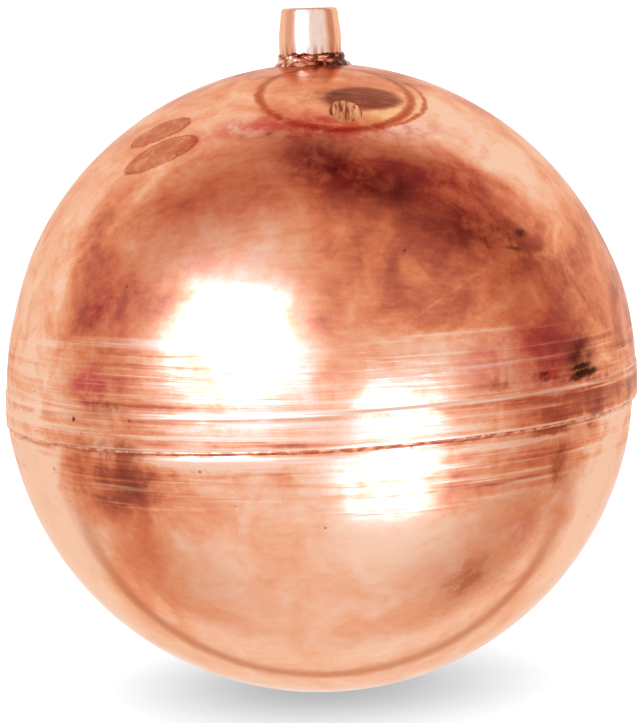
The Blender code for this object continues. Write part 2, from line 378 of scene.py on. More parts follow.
def make_braze_bead(material):
    """The rough bead round the spud's foot: a hollow slope with lumps and runs up the spud."""
    steps = 26
    inner = SPUD_BASE_RADIUS - 0.1 * MM
    top = braze_high.z
    foot_radius = braze_high.x
    foot = CENTRE_Z + math.sqrt(BALL_RADIUS**2 - foot_radius**2) - 0.12 * MM
    profile = [(inner - 0.2 * MM, top + 0.1 * MM)]
    for i in range(steps + 1):
        down = i / steps
        radius = inner + 0.3 * MM * min(1.0, 5 * down) + (foot_radius - inner) * down**1.9
        profile.append((radius, top + (foot - top) * down))
    profile.append((inner - 0.2 * MM, foot - 0.3 * MM))

    def form(r, z, angle):
        up = (z - foot) / (9 * MM)
        big = ring_wobble(angle, 0.34, 2.2, 2, up)
        small = ring_wobble(angle, 0.11, 8.1, 3, up)
        waist = np.exp(-((ring_wobble(angle, 0.7, 3.4, 2) * 3) ** 2))
        low = smooth_step(top, foot, z)
        free = smooth_step(inner - 0.05 * MM, inner + 0.3 * MM, r)
        # It spreads at the foot near +X, and draws in there near -X.
        flare = 0.55 * MM * np.exp(-(((angle - 1.45) / 0.55) ** 2)) * low
        flare -= 0.45 * MM * np.exp(-(((angle - 4.8) / 0.7) ** 2)) * low
        r = r + free * (0.20 * MM * big + 0.13 * MM * small + flare)
        r = r + free * waist * 0.22 * MM * np.sin(low * math.pi * 2.5)
        runs = ring_wobble(angle, 0.25, 5.5, 3)
        high = smooth_step(foot + 0.3 * (top - foot), top, z)
        z = z + high * (0.50 * MM * runs + 0.10 * MM * small)
        return r, z

    shape = lathe(profile, BEAD_SEGMENTS, form)
    new_piece("braze_bead", shape, "spud_braze", material)


DROP_SEED, DROP_RUNS = 11, 13


def make_vent_drop(material):
    """A low pool of solder beside the spud, with runs that were drawn downhill."""
    out = ((vent_low + vent_high) / 2 - CENTRE).normalized()
    reach, under = 3.6 * MM, -0.12 * MM
    rings = 40
    profile = [(reach * i / rings, 0.0) for i in range(rings + 1)]
    profile += [(reach, under), (0.0, under)]
    chance = random.Random(DROP_SEED)
    runs = []
    for _ in range(DROP_RUNS):
        away, turn = reach * 0.75 * math.sqrt(chance.random()), chance.uniform(0, math.tau)
        across, along = chance.uniform(0.30, 0.55) * MM, chance.uniform(1.2, 2.8) * MM
        high = chance.uniform(0.10, 0.26) * MM
        downhill = 1.6 * away * math.cos(turn) + 0.7 * MM
        runs.append((away * math.sin(turn), -downhill, across, along, high))
    pool, highest = 0.11 * MM, 0.32 * MM
    sunk = 0.03 * MM  # so that its edge meets the sheet

    def form(r, z, angle):
        longer = 1 + 0.10 * ring_wobble(angle, 0.5, 4.0, 3) + 1.1 * ((1 + np.cos(angle)) / 2) ** 2
        inside = 1 - smooth_step(0.25, 1.0, r / reach)
        r = r * longer
        x, y = r * np.sin(angle), -r * np.cos(angle)
        bumps = 0 * r
        for at_x, at_y, across, along, high in runs:
            away = ((x - at_x) / across) ** 2 + ((y - at_y) / along) ** 2
            bumps = bumps + high * np.exp(-away)
        height = inside * (pool + highest * np.tanh(bumps / highest))
        return r, np.where(z < 0, z, height - sunk) - r * r / (2 * BALL_RADIUS)

    vertices, faces = lathe(profile, DROP_SEGMENTS, form, closed=False)
    side = Vector((0, 0, 1)).cross(out).normalized()
    axes = Matrix((side, out.cross(side), out)).transposed()
    vertices = [CENTRE + out * BALL_RADIUS + axes @ Vector(v) for v in vertices]
    relief = shell_relief(np.array(vertices))
    shape = [tuple(v + out * float(deep)) for v, deep in zip(vertices, relief)], faces
    new_piece("vent_drop", shape, "vent_seal", material)


# ---- materials


class Nodes:
    """A short way to write a node tree. A socket or a number goes in wherever a value does."""

    def __init__(self, tree):
        self.tree = tree
        self.tree.nodes.clear()

    def add(self, kind, inputs=(), **settings):
        node = self.tree.nodes.new("ShaderNode" + kind)
        for name, value in settings.items():
            setattr(node, name, value)
        for key, value in dict(inputs).items():
            if isinstance(value, bpy.types.NodeSocket):
                self.tree.links.new(value, node.inputs[key])
            else:
                node.inputs[key].default_value = value
        return node

    def math(self, operation, a, b=0.0, c=0.0, clamp=False):
        settings = {"operation": operation, "use_clamp": clamp}
        return self.add("Math", {0: a, 1: b, 2: c}, **settings).outputs[0]

    def vector(self, operation, a, b=(0, 0, 0)):
        node = self.add("VectorMath", {0: a, 1: b}, operation=operation)
        return node.outputs["Value" if operation in ("DOT_PRODUCT", "LENGTH") else "Vector"]

    def between(self, x, low, high, to_low=0.0, to_high=1.0):
        """x mapped smoothly from low..high to to_low..to_high, and held there outside."""
        inputs = {0: x, 1: low, 2: high, 3: to_low, 4: to_high}
        return self.add("MapRange", inputs, interpolation_type="SMOOTHSTEP").outputs[0]

    def noise(self, at, scale, detail=3.0, rough=0.5, warp=0.0):
        inputs = {"Vector": at, "Scale": scale, "Detail": detail, "Roughness": rough}
        return self.add("TexNoise", {**inputs, "Distortion": warp}).outputs["Fac"]

    def stretched(self, at, scale, turn=(0, 0, 0)):
        inputs = {"Vector": at, "Scale": scale, "Rotation": [math.radians(a) for a in turn]}
        return self.add("Mapping", inputs).outputs[0]

    def mix(self, share, a, b, blend="MIX"):
        """Colour a, turning into colour b as share goes from 0 to 1."""
        a, b = [(*c, 1.0) if isinstance(c, tuple) else c for c in (a, b)]
        settings = {"data_type": "RGBA", "blend_type": blend, "clamp_factor": True}
        return self.add("Mix", {0: share, 6: a, 7: b}, **settings).outputs[2]

    def stain(self, share, colour, film, under=None):
        """A colour seen through some share of a tinted film.

        The metal below the film is at least as dark as under.
        """
        if under:
            below = self.math("MULTIPLY", share, 2.0, clamp=True)
            colour = self.mix(below, colour, under, "DARKEN")
        return self.mix(share, colour, film, "MULTIPLY")

    def from_level(self, x, level):
        """How far x is from a level, to either side."""
        return self.math("ABSOLUTE", self.math("SUBTRACT", x, level))

    def weighted(self, start, *fields):
        """start plus each (field, weight)."""
        for field, weight in fields:
            start = self.math("ADD", start, self.math("MULTIPLY", field, weight))
        return start

    def product(self, *values):
        result = values[0]
        for value in values[1:]:
            result = self.math("MULTIPLY", result, value)
        return result


# Copper in its states, as linear colours, from wiped clean to baked dark.
CLEAN = (0.96, 0.60, 0.44)
WARM = (0.91, 0.42, 0.24)
DEEP = (0.80, 0.26, 0.125)
RUST = (0.56, 0.145, 0.082)
BAKED = (0.37, 0.085, 0.052)
TONES = ((0.0, CLEAN), (0.26, WARM), (0.51, DEEP), (0.74, RUST), (1.0, BAKED))
TONE_SHARE = 0.73  # scales the tone amount, which runs past 1, into the ramp
PALE = (0.97, 0.76, 0.62)
EDGE_TINT = {"Specular Tint": (0.97, 0.80, 0.67, 1.0)}  # how copper reflects at its rim

# Tinted films on the copper: what each one lets through.
RED = (0.76, 0.29, 0.35)
PURPLE = (0.84, 0.48, 0.82)
UMBER = (0.25, 0.12, 0.12)
# This brown film also paints shade under the band's lip and below its upper edge.
BROWN_AND_SHADE = (0.62, 0.31, 0.22)
DARK_OVAL_TINT = (0.27, 0.125, 0.155)
PLUM = (0.46, 0.30, 0.42)
BLACK = (0.07, 0.020, 0.020)
STRAW = (0.97, 1.0, 0.54)

# Ovals on the ball: (lon, lat, width, height, turn, softness, strength), angles in degrees.
DEEPER = (
    (-12, 42, 40, 16, 8, 0.8, 0.24), (22, 34, 44, 24, -26, 0.7, 0.42),
    (24, 22, 28, 15, 0, 0.6, 0.32), (60, 22, 42, 30, 0, 0.6, 0.24),
    (78, 27, 34, 12, 14, 0.5, 0.25), (-41, 17, 20, 15, 0, 0.8, 0.14),
    (-40, 34, 30, 13, 14, 0.8, 0.24), (-36, 4, 24, 12, 0, 0.6, 0.18),
    (-38, -12, 22, 11, 0, 0.7, 0.5), (-36, -24, 13, 22, -24, 0.7, 0.34),
    (-22, -18, 26, 10, -6, 0.8, 0.2), (31, -30, 20, 13, 42, 0.7, 0.14),
    (38, -20, 12, 20, 20, 0.7, 0.1), (36, -11, 26, 9, 4, 0.6, 0.34),
    (58, -0.5, 56, 6.5, 1, 0.3, 0.5), (9, 66, 30, 26, 0, 0.2, 0.24), (3, 16, 9, 18, 0, 0.9, 0.12),
    (0, 84, 40, 30, 0, 0.8, 0.36), (-26, 68, 30, 16, 0, 0.8, 0.16),
    (21.5, 23, 14, 7, 32, 0.5, 0.26),
)
# The oval at lon 0, lat 4 is a painted glow over the front middle, between the lamps' bright
# patches.
CLEARER_AND_GLOW = (
    (2, -28, 66, 34, 0, 0.7, 0.36), (44, 55, 44, 14, -8, 0.6, 0.36),
    (53, 41, 22, 13, -28, 0.5, 0.42), (-48, 62, 50, 16, 12, 0.7, 0.16),
    (-22, 57, 22, 9, 0, 0.8, 0.24), (23, 34.5, 7, 3.5, -30, 0.8, 0.26),
    (30, 36.5, 10, 3, -24, 0.7, 0.3), (12, 47, 8, 4, -10, 0.8, 0.22),
    (-70, 34, 22, 60, 0, 0.7, 0.2), (-16, 31, 34, 11, 8, 0.7, 0.22), (0, 4, 34, 20, 0, 0.8, 0.36),
    (-10, 0.5, 44, 4, 0, 0.7, 0.3), (32, 18.5, 14, 7, 34, 0.6, 0.12),
    (66, -28, 28, 50, 0, 0.6, 0.55), (-64, -26, 28, 50, 0, 0.6, 0.62),
    (16, 8, 22, 10, 8, 0.7, 0.24), (-14, -6, 60, 6, 0, 0.6, 0.35), (0, -62, 90, 60, 0, 0.6, 0.36),
)
RED_FILM = (
    (-3, 55.6, 30, 6, -3, 0.8, 1), (8, 54, 20, 4.5, 3, 0.8, 1), (22, 53, 22, 3.4, 4, 0.5, 0.6),
    (35, 41, 8, 6, 0, 0.6, 0.6), (8, 43, 9, 7, 0, 0.7, 0.55), (43, 4.6, 7, 3, 0, 0.6, 0.35),
    (-45, 4.8, 3, 5, 0, 0.6, 0.25), (40, 4.2, 4.5, 2, 0, 0.6, 0.9),
)
PURPLE_FILM = (
    (-41, 19, 10, 13, 10, 0.8, 0.5), (-43, 17, 6, 6, 15, 0.6, 0.85),
    (-42, 5, 11, 6.5, 0, 0.4, 0.85), (39, 8.5, 25, 11, 3, 0.6, 0.8),
    (26, 41, 20, 12, -20, 0.8, 0.75), (3, 46, 20, 11, 0, 0.8, 0.65),
    (34, 32, 20, 13, -20, 0.8, 0.6), (-20, 38, 24, 10, 10, 0.8, 0.3), (39, -22, 6, 5, 0, 0.6, 0.5),
    (-22, 27, 8, 4, 0, 0.6, 0.25),
)
UMBER_FILM = (
    (3, 46, 13, 9, -28, 0.9, 0.5), (13.5, 40.5, 12, 6.5, -22, 0.8, 0.55),
    (28, 31.5, 14, 6, -24, 0.8, 0.35), (40.2, 4.2, 3.6, 1.7, 0, 0.6, 0.8),
    (44.5, 4.2, 2.6, 1.2, 0, 0.6, 0.5), (51, 7.5, 7.5, 4.5, 0, 0.8, 0.75),
    (37, 29, 19, 8, -22, 0.7, 0.58), (31, 33.5, 6, 3, -30, 0.7, 0.5), (50, 7, 9, 5.5, 0, 0.7, 0.6),
    (-38, -5.6, 13, 3, -2, 0.5, 0.6), (-40, -14, 8, 3, 0, 0.6, 0.45),
    (-36, -11, 15, 7, 0, 0.7, 0.34), (45.5, -11.5, 4, 7, 4, 0.5, 0.5),
    (43, -4.9, 8, 1.8, 0, 0.5, 0.6), (29, -31, 9, 6, 40, 0.7, 0.34), (6, 65, 9, 3, 0, 0.8, 0.45),
    (31, 4.2, 9, 1.6, 0, 0.6, 0.4), (-39, 1.6, 8, 1.8, 0, 0.5, 0.5),
    (66, -1, 24, 1.6, 0, 0.6, 0.45),
)
PLUM_FILM = (
    (1.5, 47.5, 13, 9, -32, 0.9, 0.85), (4, 45, 7, 5, -20, 0.9, 0.95),
    (13, 41, 11, 6.5, -20, 0.9, 0.58), (20, 37.5, 12, 6, -24, 0.9, 0.3),
    (29, 31, 14, 6, -24, 0.9, 0.3), (23, 44.5, 16, 6, -18, 0.8, 0.4),
    (-4, 52.5, 16, 4, -8, 0.8, 0.4), (52, 7.5, 7, 5, 0, 0.8, 0.7), (40, 7, 14, 7, 0, 0.8, 0.15),
    (-44, 16.5, 6, 5, 20, 0.8, 0.35),
)
STRAW_FILM = ((25, 57.2, 16, 4.5, 20, 0.5, 0.62), (40, 62, 7, 12, 0, 0.6, 0.3))
SPOTS = (
    (50.5, 5.1, 6, 1.1, 3, 0.5, 0.95), (52, 3.9, 8.5, 1.5, 2, 0.4, 1),
    (49, 3.4, 4, 1.2, 0, 0.5, 0.9), (49, 6.5, 4, 2, 0, 0.9, 0.55),
    (41.2, 4, 1.2, 0.8, 0, 0.7, 0.55), (43.5, 29.4, 2.4, 1.6, 0, 0.7, 0.75),
    (40, 26.8, 3.4, 0.7, -8, 0.6, 0.6), (-46.7, -0.8, 1, 0.8, 0, 0.6, 0.9),
    (-12.6, 53.4, 0.8, 0.7, 0, 0.8, 0.45),
)
# Long emery strokes beside the seam: (lon, lat, width, height, turn, strength). Below 0 is dark.
STROKES = (
    (-37, 12.6, 38, 1.5, 0.5, 0.7), (-36, 10.9, 20, 0.7, 0.3, -0.5),
    (-33, 8.8, 18, 0.7, -0.4, -0.45), (-28, 1, 46, 1, 0, 0.8), (-33, 2.3, 22, 0.7, 0, -0.5),
    (-40, -2.6, 44, 0.8, -0.5, 0.7), (-24, -6.6, 50, 1.1, -0.8, 0.8),
    (-20, -9, 40, 0.6, 0.8, -0.4), (32, 2, 60, 0.8, 0.2, 0.75), (50, 1.2, 40, 0.6, 0.6, 0.85),
    (36, -3.9, 26, 0.8, 0.3, 0.8), (34, -6.2, 22, 1.5, 0.6, 0.85), (33, -11.6, 24, 0.8, 1, 0.7),
    (36, -15, 20, 0.8, 1.4, 0.45), (-34, -10.5, 26, 0.8, 0.6, 0.5),
    (-30, -15.2, 22, 0.7, 0.8, 0.35), (34, -12.7, 20, 0.7, 1, -0.75),
    (38, -9.2, 22, 0.8, 0.5, -0.5), (25, 13.3, 34, 0.8, 1.2, 0.4), (12, -2.5, 40, 0.9, -0.3, 0.5),
    (-12, -3.6, 56, 0.9, -0.6, -0.7), (25, 20.6, 25, 0.5, 28, 0.18),
)
# Wide marks with an outline: (lon, lat, width, height, turn, strength).
OUTLINED_MARKS = ((-52.5, 54.2, 12.5, 6.2, 30, 0.85), (-44, 48.6, 14.5, 6.8, 30, 0.8))
RING_MARK = (10.5, 67, 26.5)  # lon, lat, diameter
DARK_OVAL = (20, 63.6, 14, 8.6, 0, 0.18, 0.95)  # one oval, as above

# The side away from the camera gets marks of the same kinds, by chance.
BACK_SEED = 23
BACK_LON, BACK_LAT = (95, 265), (-60, 60)


def with_back(places, chance, count, width, height, strength):
    """places, and count more ovals scattered over the back. Ranges are (least, most)."""
    ranges = (BACK_LON, BACK_LAT, width, height, (-40, 40), (0.4, 0.8), strength)
    scattered = [tuple(chance.uniform(*ends) for ends in ranges) for _ in range(count)]
    return (*places, *scattered)


def from_oval(nodes, direction, lon, lat, width, height, turn, reach):
    """1 at an oval's centre, falling evenly to 0 at reach times its outline.

    Each oval is one Mapping and one Gradient node, because their socket types match. Any other
    chain makes Cycles hold all the ovals in memory at once, which is more than it can.
    """
    outward, east = on_ball(lon, lat), on_ball(lon + 90, 0)
    spin = Matrix.Rotation(math.radians(turn), 3, outward)
    axes = Matrix((spin @ east, spin @ outward.cross(east), outward)).transposed()
    half_width, half_height = math.radians(width / 2), math.radians(height / 2)
    inputs = {
        "Vector": direction,
        "Location": outward,
        "Rotation": axes.to_euler(),
        "Scale": (reach * math.sin(half_width), reach * math.sin(half_height), reach),
    }
    local = nodes.add("Mapping", inputs, vector_type="TEXTURE").outputs[0]
    gradient = nodes.add("TexGradient", {"Vector": local}, gradient_type="SPHERICAL")
    return gradient.outputs["Fac"]


def ovals(nodes, direction, places):
    """The strongest of some ovals: their strength inside, and 0 outside."""
    strongest = 0.0
    for *place, softness, strength in places:
        reach = 1 + softness
        fall = from_oval(nodes, direction, *place, reach)
        mask = nodes.between(fall, 0.0, 2 * softness / reach, 0.0, strength)
        strongest = nodes.math("MAXIMUM", strongest, mask)
    return strongest


def strokes(nodes, direction, sign):
    """The bright strokes for sign 1, the dark ones for -1."""
    places = [
        (*place, 0.8, sign * strength) for *place, strength in STROKES if sign * strength > 0
    ]
    return ovals(nodes, direction, places)


def outline(nodes, direction, place, thickness):
    """1 on an oval's outline, fading over a thickness given as a share of its size."""
    middle = 0.5
    fall = from_oval(nodes, direction, *place, 1 / middle)
    return nodes.between(nodes.from_level(fall, middle), thickness * middle, 0.0)


def new_material(name, kind=Nodes):
    material = bpy.data.materials.new(name)
    material.use_nodes = True
    nodes = kind(material.node_tree)
    nodes.material = material
    return nodes


def finish_material(nodes, colour, roughness, height, bump_distance, more=()):
    """A metallic Principled shader with its colour, roughness and bump, wired to the output."""
    bump = nodes.add("Bump", {"Height": height, "Strength": 1.0, "Distance": bump_distance})
    inputs = {"Base Color": colour, "Roughness": roughness, "Normal": bump.outputs[0]}
    shader = nodes.add("BsdfPrincipled", {**inputs, "Metallic": 1.0, **dict(more)})
    nodes.add("OutputMaterial", {"Surface": shader.outputs[0]})
    return nodes.material


def millimetres(nodes):
    """The piece's own coordinates, in millimetres."""
    at = nodes.add("TexCoord").outputs["Object"]
    return nodes.vector("MULTIPLY", at, (1 / MM,) * 3)


def warped(nodes, direction, per_mm, scale, amount):
    """The direction, pushed about by noise so that outlines turn ragged."""
    inputs = {"Vector": per_mm, "Scale": scale, "Detail": 5.0, "Roughness": 0.65}
    push = nodes.add("TexNoise", inputs).outputs["Color"]
    shift = nodes.vector("SUBTRACT", push, (0.5, 0.5, 0.5))
    return nodes.vector("ADD", direction, nodes.vector("MULTIPLY", shift, (amount,) * 3))


def brush_lines(nodes, per_mm):
    """Three sets of long, thin noise along the seam: coarse, middling and fine."""
    sets = (
        ((0.018, 0.018, 0.62), (1.4, -1.0, 0), 3.0, 0.60),
        ((0.030, 0.030, 1.50), (-1.8, 1.2, 0), 3.0, 0.65),
        ((0.050, 0.050, 3.80), (-0.6, -2.0, 0), 2.0, 0.60),
    )
    return [
        nodes.noise(nodes.stretched(per_mm, scale, turn), 1.0, detail, rough)
        for scale, turn, detail, rough in sets
    ]


def rubbing(nodes, per_mm):
    """Short polishing strokes that change direction from patch to patch."""
    turns = ((15, 25, 40), (-35, 10, 70), (60, -20, 5))
    layers = [
        nodes.noise(nodes.stretched(per_mm, (0.07, 0.75, 0.75), turn), 1.0, 3.0, 0.6)
        for turn in turns
    ]
    patch = nodes.noise(per_mm, 0.05, 1.0)
    rubbed = layers[0]
    for layer, low, high in ((layers[1], 0.44, 0.50), (layers[2], 0.52, 0.58)):
        inputs = {0: nodes.between(patch, low, high), 2: rubbed, 3: layer}
        rubbed = nodes.add("Mix", inputs).outputs[0]
    return rubbed


def graded(nodes, x, stops):
    """A ramp through stops of colours or of plain levels, whose places lie from 0 to 1."""
    ramp = nodes.add("ValToRGB", {"Fac": x})
    elements = ramp.color_ramp.elements
    while len(elements) < len(stops):
        elements.new(0.5)
    for element, (place, value) in zip(elements, stops):
        element.position = place
        element.color = (*value, 1) if isinstance(value, tuple) else (value, value, value, 1)
    return ramp.outputs["Color"]


class Sheet(Nodes):
    """The shells' node tree, with the coordinates and noise fields that its layers share."""

    def __init__(self, tree):
        super().__init__(tree)
        at = self.add("TexCoord").outputs["Object"]
        self.at = self.vector("SUBTRACT", at, tuple(CENTRE))
        self.per_mm = per_mm = self.vector("MULTIPLY", self.at, (1 / MM,) * 3)
        direction = self.vector("NORMALIZE", self.at)
        # The direction pushed about by much, by less, by little, and in long gentle waves.
        self.loose = warped(self, direction, per_mm, 0.10, 0.20)
        self.medium = warped(self, direction, per_mm, 0.20, 0.075)
        self.tight = warped(self, direction, per_mm, 0.45, 0.024)
        self.steady = warped(self, direction, per_mm, 0.08, 0.022)

        # Where the emery went: a belt along the seam, with uneven ends to its strokes.
        self.height = self.add("SeparateXYZ", {0: self.at}).outputs["Z"]
        off_middle = self.from_level(self.height, -1.5 * MM)
        reach = self.noise(self.stretched(per_mm, (0.03, 0.03, 0.5)), 1.0, 2.0)
        reach = self.between(reach, 0.3, 0.7, 13 * MM, 23 * MM)
        self.brushed = self.between(off_middle, reach, self.math("SUBTRACT", reach, 8 * MM))
        coarse, self.middling, self.fine_lines = brush_lines(self, per_mm)
        self.lines = self.weighted(0.0, (coarse, 0.6), (self.middling, 0.4))
        self.rubbed = rubbing(self, per_mm)

        self.broad = self.noise(per_mm, 0.022, 3.0, 0.5, 0.5)
        self.cloudy = self.noise(per_mm, 0.085, 5.0, 0.56, 0.6)
        self.mottle = self.noise(per_mm, 0.33, 5.0, 0.65, 0.4)
        self.grain = self.noise(per_mm, 1.3, 4.0, 0.6)
        self.calm = self.between(self.height, -12 * MM, -34 * MM, 1.0, 0.55)


def tarnish(sheet, deeper, clearer_and_glow):
    """How far the copper has turned, as a place along TONES, and lower where a glow is painted on.
    """
    amount = sheet.math("ADD", 0.50, ovals(sheet, sheet.loose, deeper))
    amount = sheet.math("SUBTRACT", amount, ovals(sheet, sheet.loose, clearer_and_glow))
    fields = [(sheet.broad, 1.1), (sheet.cloudy, 1.7), (sheet.mottle, 0.42)]
    fields += [(sheet.grain, 0.12), (sheet.rubbed, 0.45)]
    even = -0.5 * sum(weight for _, weight in fields)  # noise lies round a half
    clouds = sheet.weighted(even, *fields)
    amount = sheet.math("ADD", amount, sheet.product(clouds, sheet.calm))
    lines = sheet.math("MULTIPLY", sheet.math("SUBTRACT", sheet.lines, 0.5), 2.1)
    amount = sheet.math("ADD", amount, sheet.product(lines, sheet.brushed))
    streaky = sheet.between(sheet.middling, 0.38, 0.58, 1.1, 0.25)
    bright, dark = strokes(sheet, sheet.steady, 1), strokes(sheet, sheet.steady, -1)
    long_strokes = sheet.product(sheet.math("SUBTRACT", bright, dark), streaky)
    amount = sheet.math("SUBTRACT", amount, long_strokes)
    return sheet.math("MULTIPLY", amount, TONE_SHARE, clamp=True)


def add_films(sheet, colour, purple, umber):
    """The tinted patches, broken up by blotches."""
    blotches = sheet.weighted(0.0, (sheet.cloudy, 0.6), (sheet.mottle, 0.4))
    ragged = sheet.between(blotches, 0.41, 0.55, 0.30, 1.0)
    smooth = sheet.between(blotches, 0.41, 0.55, 0.75, 1.0)
    for places, warp, patchy, tint, under in (
        (STRAW_FILM, sheet.tight, 0.9, STRAW, None),
        (RED_FILM, sheet.medium, ragged, RED, None),
        (purple, sheet.loose, ragged, PURPLE, None),
        (umber, sheet.medium, ragged, UMBER, DEEP),
        (PLUM_FILM, sheet.medium, smooth, PLUM, DEEP),
    ):
        share = sheet.product(ovals(sheet, warp, places), patchy)
        colour = sheet.stain(share, colour, tint, under)
    return colour


def add_marks(sheet, colour):
    """The ring and the dark oval by the spud, the outlined marks and the black spots."""
    lon, lat, size = RING_MARK
    ring = outline(sheet, sheet.tight, (lon, lat, size, size, 0), 0.10)
    second = outline(sheet, sheet.tight, (lon + 3, lat, size * 1.12, size, 0), 0.05)
    ring = sheet.math("MAXIMUM", ring, sheet.product(second, 0.75))
    ring = sheet.product(ring, sheet.between(sheet.mottle, 0.3, 0.5, 0.6, 1.0))
    colour = sheet.stain(ring, colour, BROWN_AND_SHADE, DEEP)
    dark_oval_mask = ovals(sheet, sheet.tight, [DARK_OVAL])
    dark_oval_mask = sheet.product(dark_oval_mask, sheet.between(sheet.rubbed, 0.30, 0.55, 0.75, 1.0))
    colour = sheet.stain(dark_oval_mask, colour, DARK_OVAL_TINT, DEEP)
    for *place, strength in OUTLINED_MARKS:
        inside = ovals(sheet, sheet.tight, [(*place, 0.06, strength)])
        inside = sheet.product(inside, sheet.between(sheet.mottle, 0.34, 0.58, 0.6, 1.0))
        colour = sheet.stain(inside, colour, BROWN_AND_SHADE, WARM)
        edge = outline(sheet, sheet.tight, place, 0.10)
        edge = sheet.product(edge, sheet.between(sheet.cloudy, 0.40, 0.55, 0.25, 0.75))
        colour = sheet.stain(edge, colour, BROWN_AND_SHADE)
    return sheet.stain(ovals(sheet, sheet.tight, SPOTS), colour, BLACK)


def add_band_wear_highlight_and_shade(sheet, colour):
    """The band's edges worn bright and painted with a highlight, and painted shade under its lip
    and below its upper edge.
    """
    level = sheet.vector("DOT_PRODUCT", sheet.at, (-math.tan(math.radians(BAND_TILT)), 0, 1))
    top, bottom = BAND_TOP - CENTRE_Z, BAND_BOTTOM - CENTRE_Z
    broken = sheet.between(sheet.middling, 0.36, 0.56, 1.0, 0.25)
    # Bright lines on the band's two edges: partly wear, partly a painted highlight.
    for worn in (top + 0.3 * MM, bottom + 0.2 * MM):
        bright = sheet.between(sheet.from_level(level, worn), 0.45 * MM, 0.10 * MM)
        colour = sheet.mix(sheet.product(bright, broken, 0.7), colour, PALE)
    patchy = sheet.between(sheet.cloudy, 0.36, 0.56)
    # Painted shade, in brown, under the lip and below the upper edge.
    for shade_level, share in ((bottom - 0.9 * MM, 0.55), (top - 0.8 * MM, 0.35)):
        painted_shade = sheet.between(sheet.from_level(level, shade_level), 0.8 * MM, 0.15 * MM)
        colour = sheet.stain(sheet.product(painted_shade, patchy, share), colour, BROWN_AND_SHADE, WARM)
    return colour


def make_pits(nodes, per_mm):
    """1 in a few small round pits, scattered by chance."""
    cells = nodes.add("TexVoronoi", {"Vector": per_mm, "Scale": 0.26, "Randomness": 1.0})
    lot = nodes.add("SeparateColor", {0: cells.outputs["Color"]}).outputs[0]
    least = 0.86  # only cells that drew more than this have a pit
    size = nodes.between(lot, least, 1.0, 0.02, 0.13)
    pits = nodes.between(cells.outputs["Distance"], size, nodes.math("MULTIPLY", size, 0.4))
    return nodes.product(pits, nodes.math("GREATER_THAN", lot, least))


def shell_copper():
    """Polished, handled and heat-marked copper sheet, brushed along the seam."""
    sheet = new_material("aged_copper", Sheet)
    chance = random.Random(BACK_SEED)
    deeper = with_back(DEEPER, chance, 9, (18, 50), (10, 26), (0.25, 0.5))
    clearer_and_glow = with_back(CLEARER_AND_GLOW, chance, 7, (20, 60), (10, 30), (0.25, 0.45))
    purple = with_back(PURPLE_FILM, chance, 6, (8, 26), (6, 14), (0.4, 0.8))
    umber = with_back(UMBER_FILM, chance, 5, (4, 14), (2, 7), (0.4, 0.8))

    amount = tarnish(sheet, deeper, clearer_and_glow)
    colour = graded(sheet, amount, TONES)
    wiped = sheet.product(sheet.between(sheet.lines, 0.47, 0.36), sheet.brushed, 0.48)
    colour = sheet.mix(wiped, colour, PALE)
    colour = add_films(sheet, colour, purple, umber)
    colour = add_marks(sheet, colour)
    # Painted highlight on the band's edges, and painted shade below them.
    colour = add_band_wear_highlight_and_shade(sheet, colour)
    colour = sheet.mix(sheet.product(wiped, 0.45), colour, WARM)
    pits = make_pits(sheet, sheet.per_mm)
    colour = sheet.stain(sheet.product(pits, 0.7), colour, UMBER)
    # Thin tide lines, where a film dried along one level of the clouds.
    tide = sheet.between(sheet.from_level(sheet.cloudy, 0.585), 0.007, 0.0)
    tide = sheet.product(tide, sheet.between(sheet.broad, 0.48, 0.58), sheet.calm, sheet.calm, 0.3)
    colour = sheet.stain(tide, colour, BROWN_AND_SHADE)

    roughness = sheet.between(sheet.cloudy, 0.35, 0.7, 0.19, 0.29)
    roughness = sheet.weighted(roughness, (amount, 0.05), (sheet.brushed, 0.05))
    smoother = sheet.between(sheet.height, -20 * MM, -45 * MM, 1.0, 0.55)
    relief = sheet.weighted(
        0.0,
        (sheet.product(sheet.brushed, sheet.lines), 1.6),
        (sheet.product(sheet.brushed, sheet.fine_lines), 0.45),
        (sheet.rubbed, 0.22),
        (sheet.mottle, 0.12),
        (sheet.grain, 0.05),
        (pits, -0.6),
    )
    roughness = sheet.product(roughness, smoother)
    return finish_material(sheet, colour, roughness, relief, 0.05 * MM, EDGE_TINT)


# Linear colours of the smaller pieces.
# Of the two spud colours on the first line below, the second is painted shade for its sides.
TURNED, TURNED_SIDE_SHADE = (0.92, 0.75, 0.66), (0.93, 0.47, 0.29)
BRAZE, BRAZE_RUST, SCALE = (0.94, 0.55, 0.36), (0.46, 0.09, 0.04), (0.07, 0.014, 0.009)
SOLDER, SOLDER_DARK = (0.92, 0.45, 0.27), (0.60, 0.16, 0.075)
TANNED, TANNED_DARK, SEAM = (0.88, 0.45, 0.22), (0.72, 0.26, 0.12), (0.20, 0.05, 0.022)


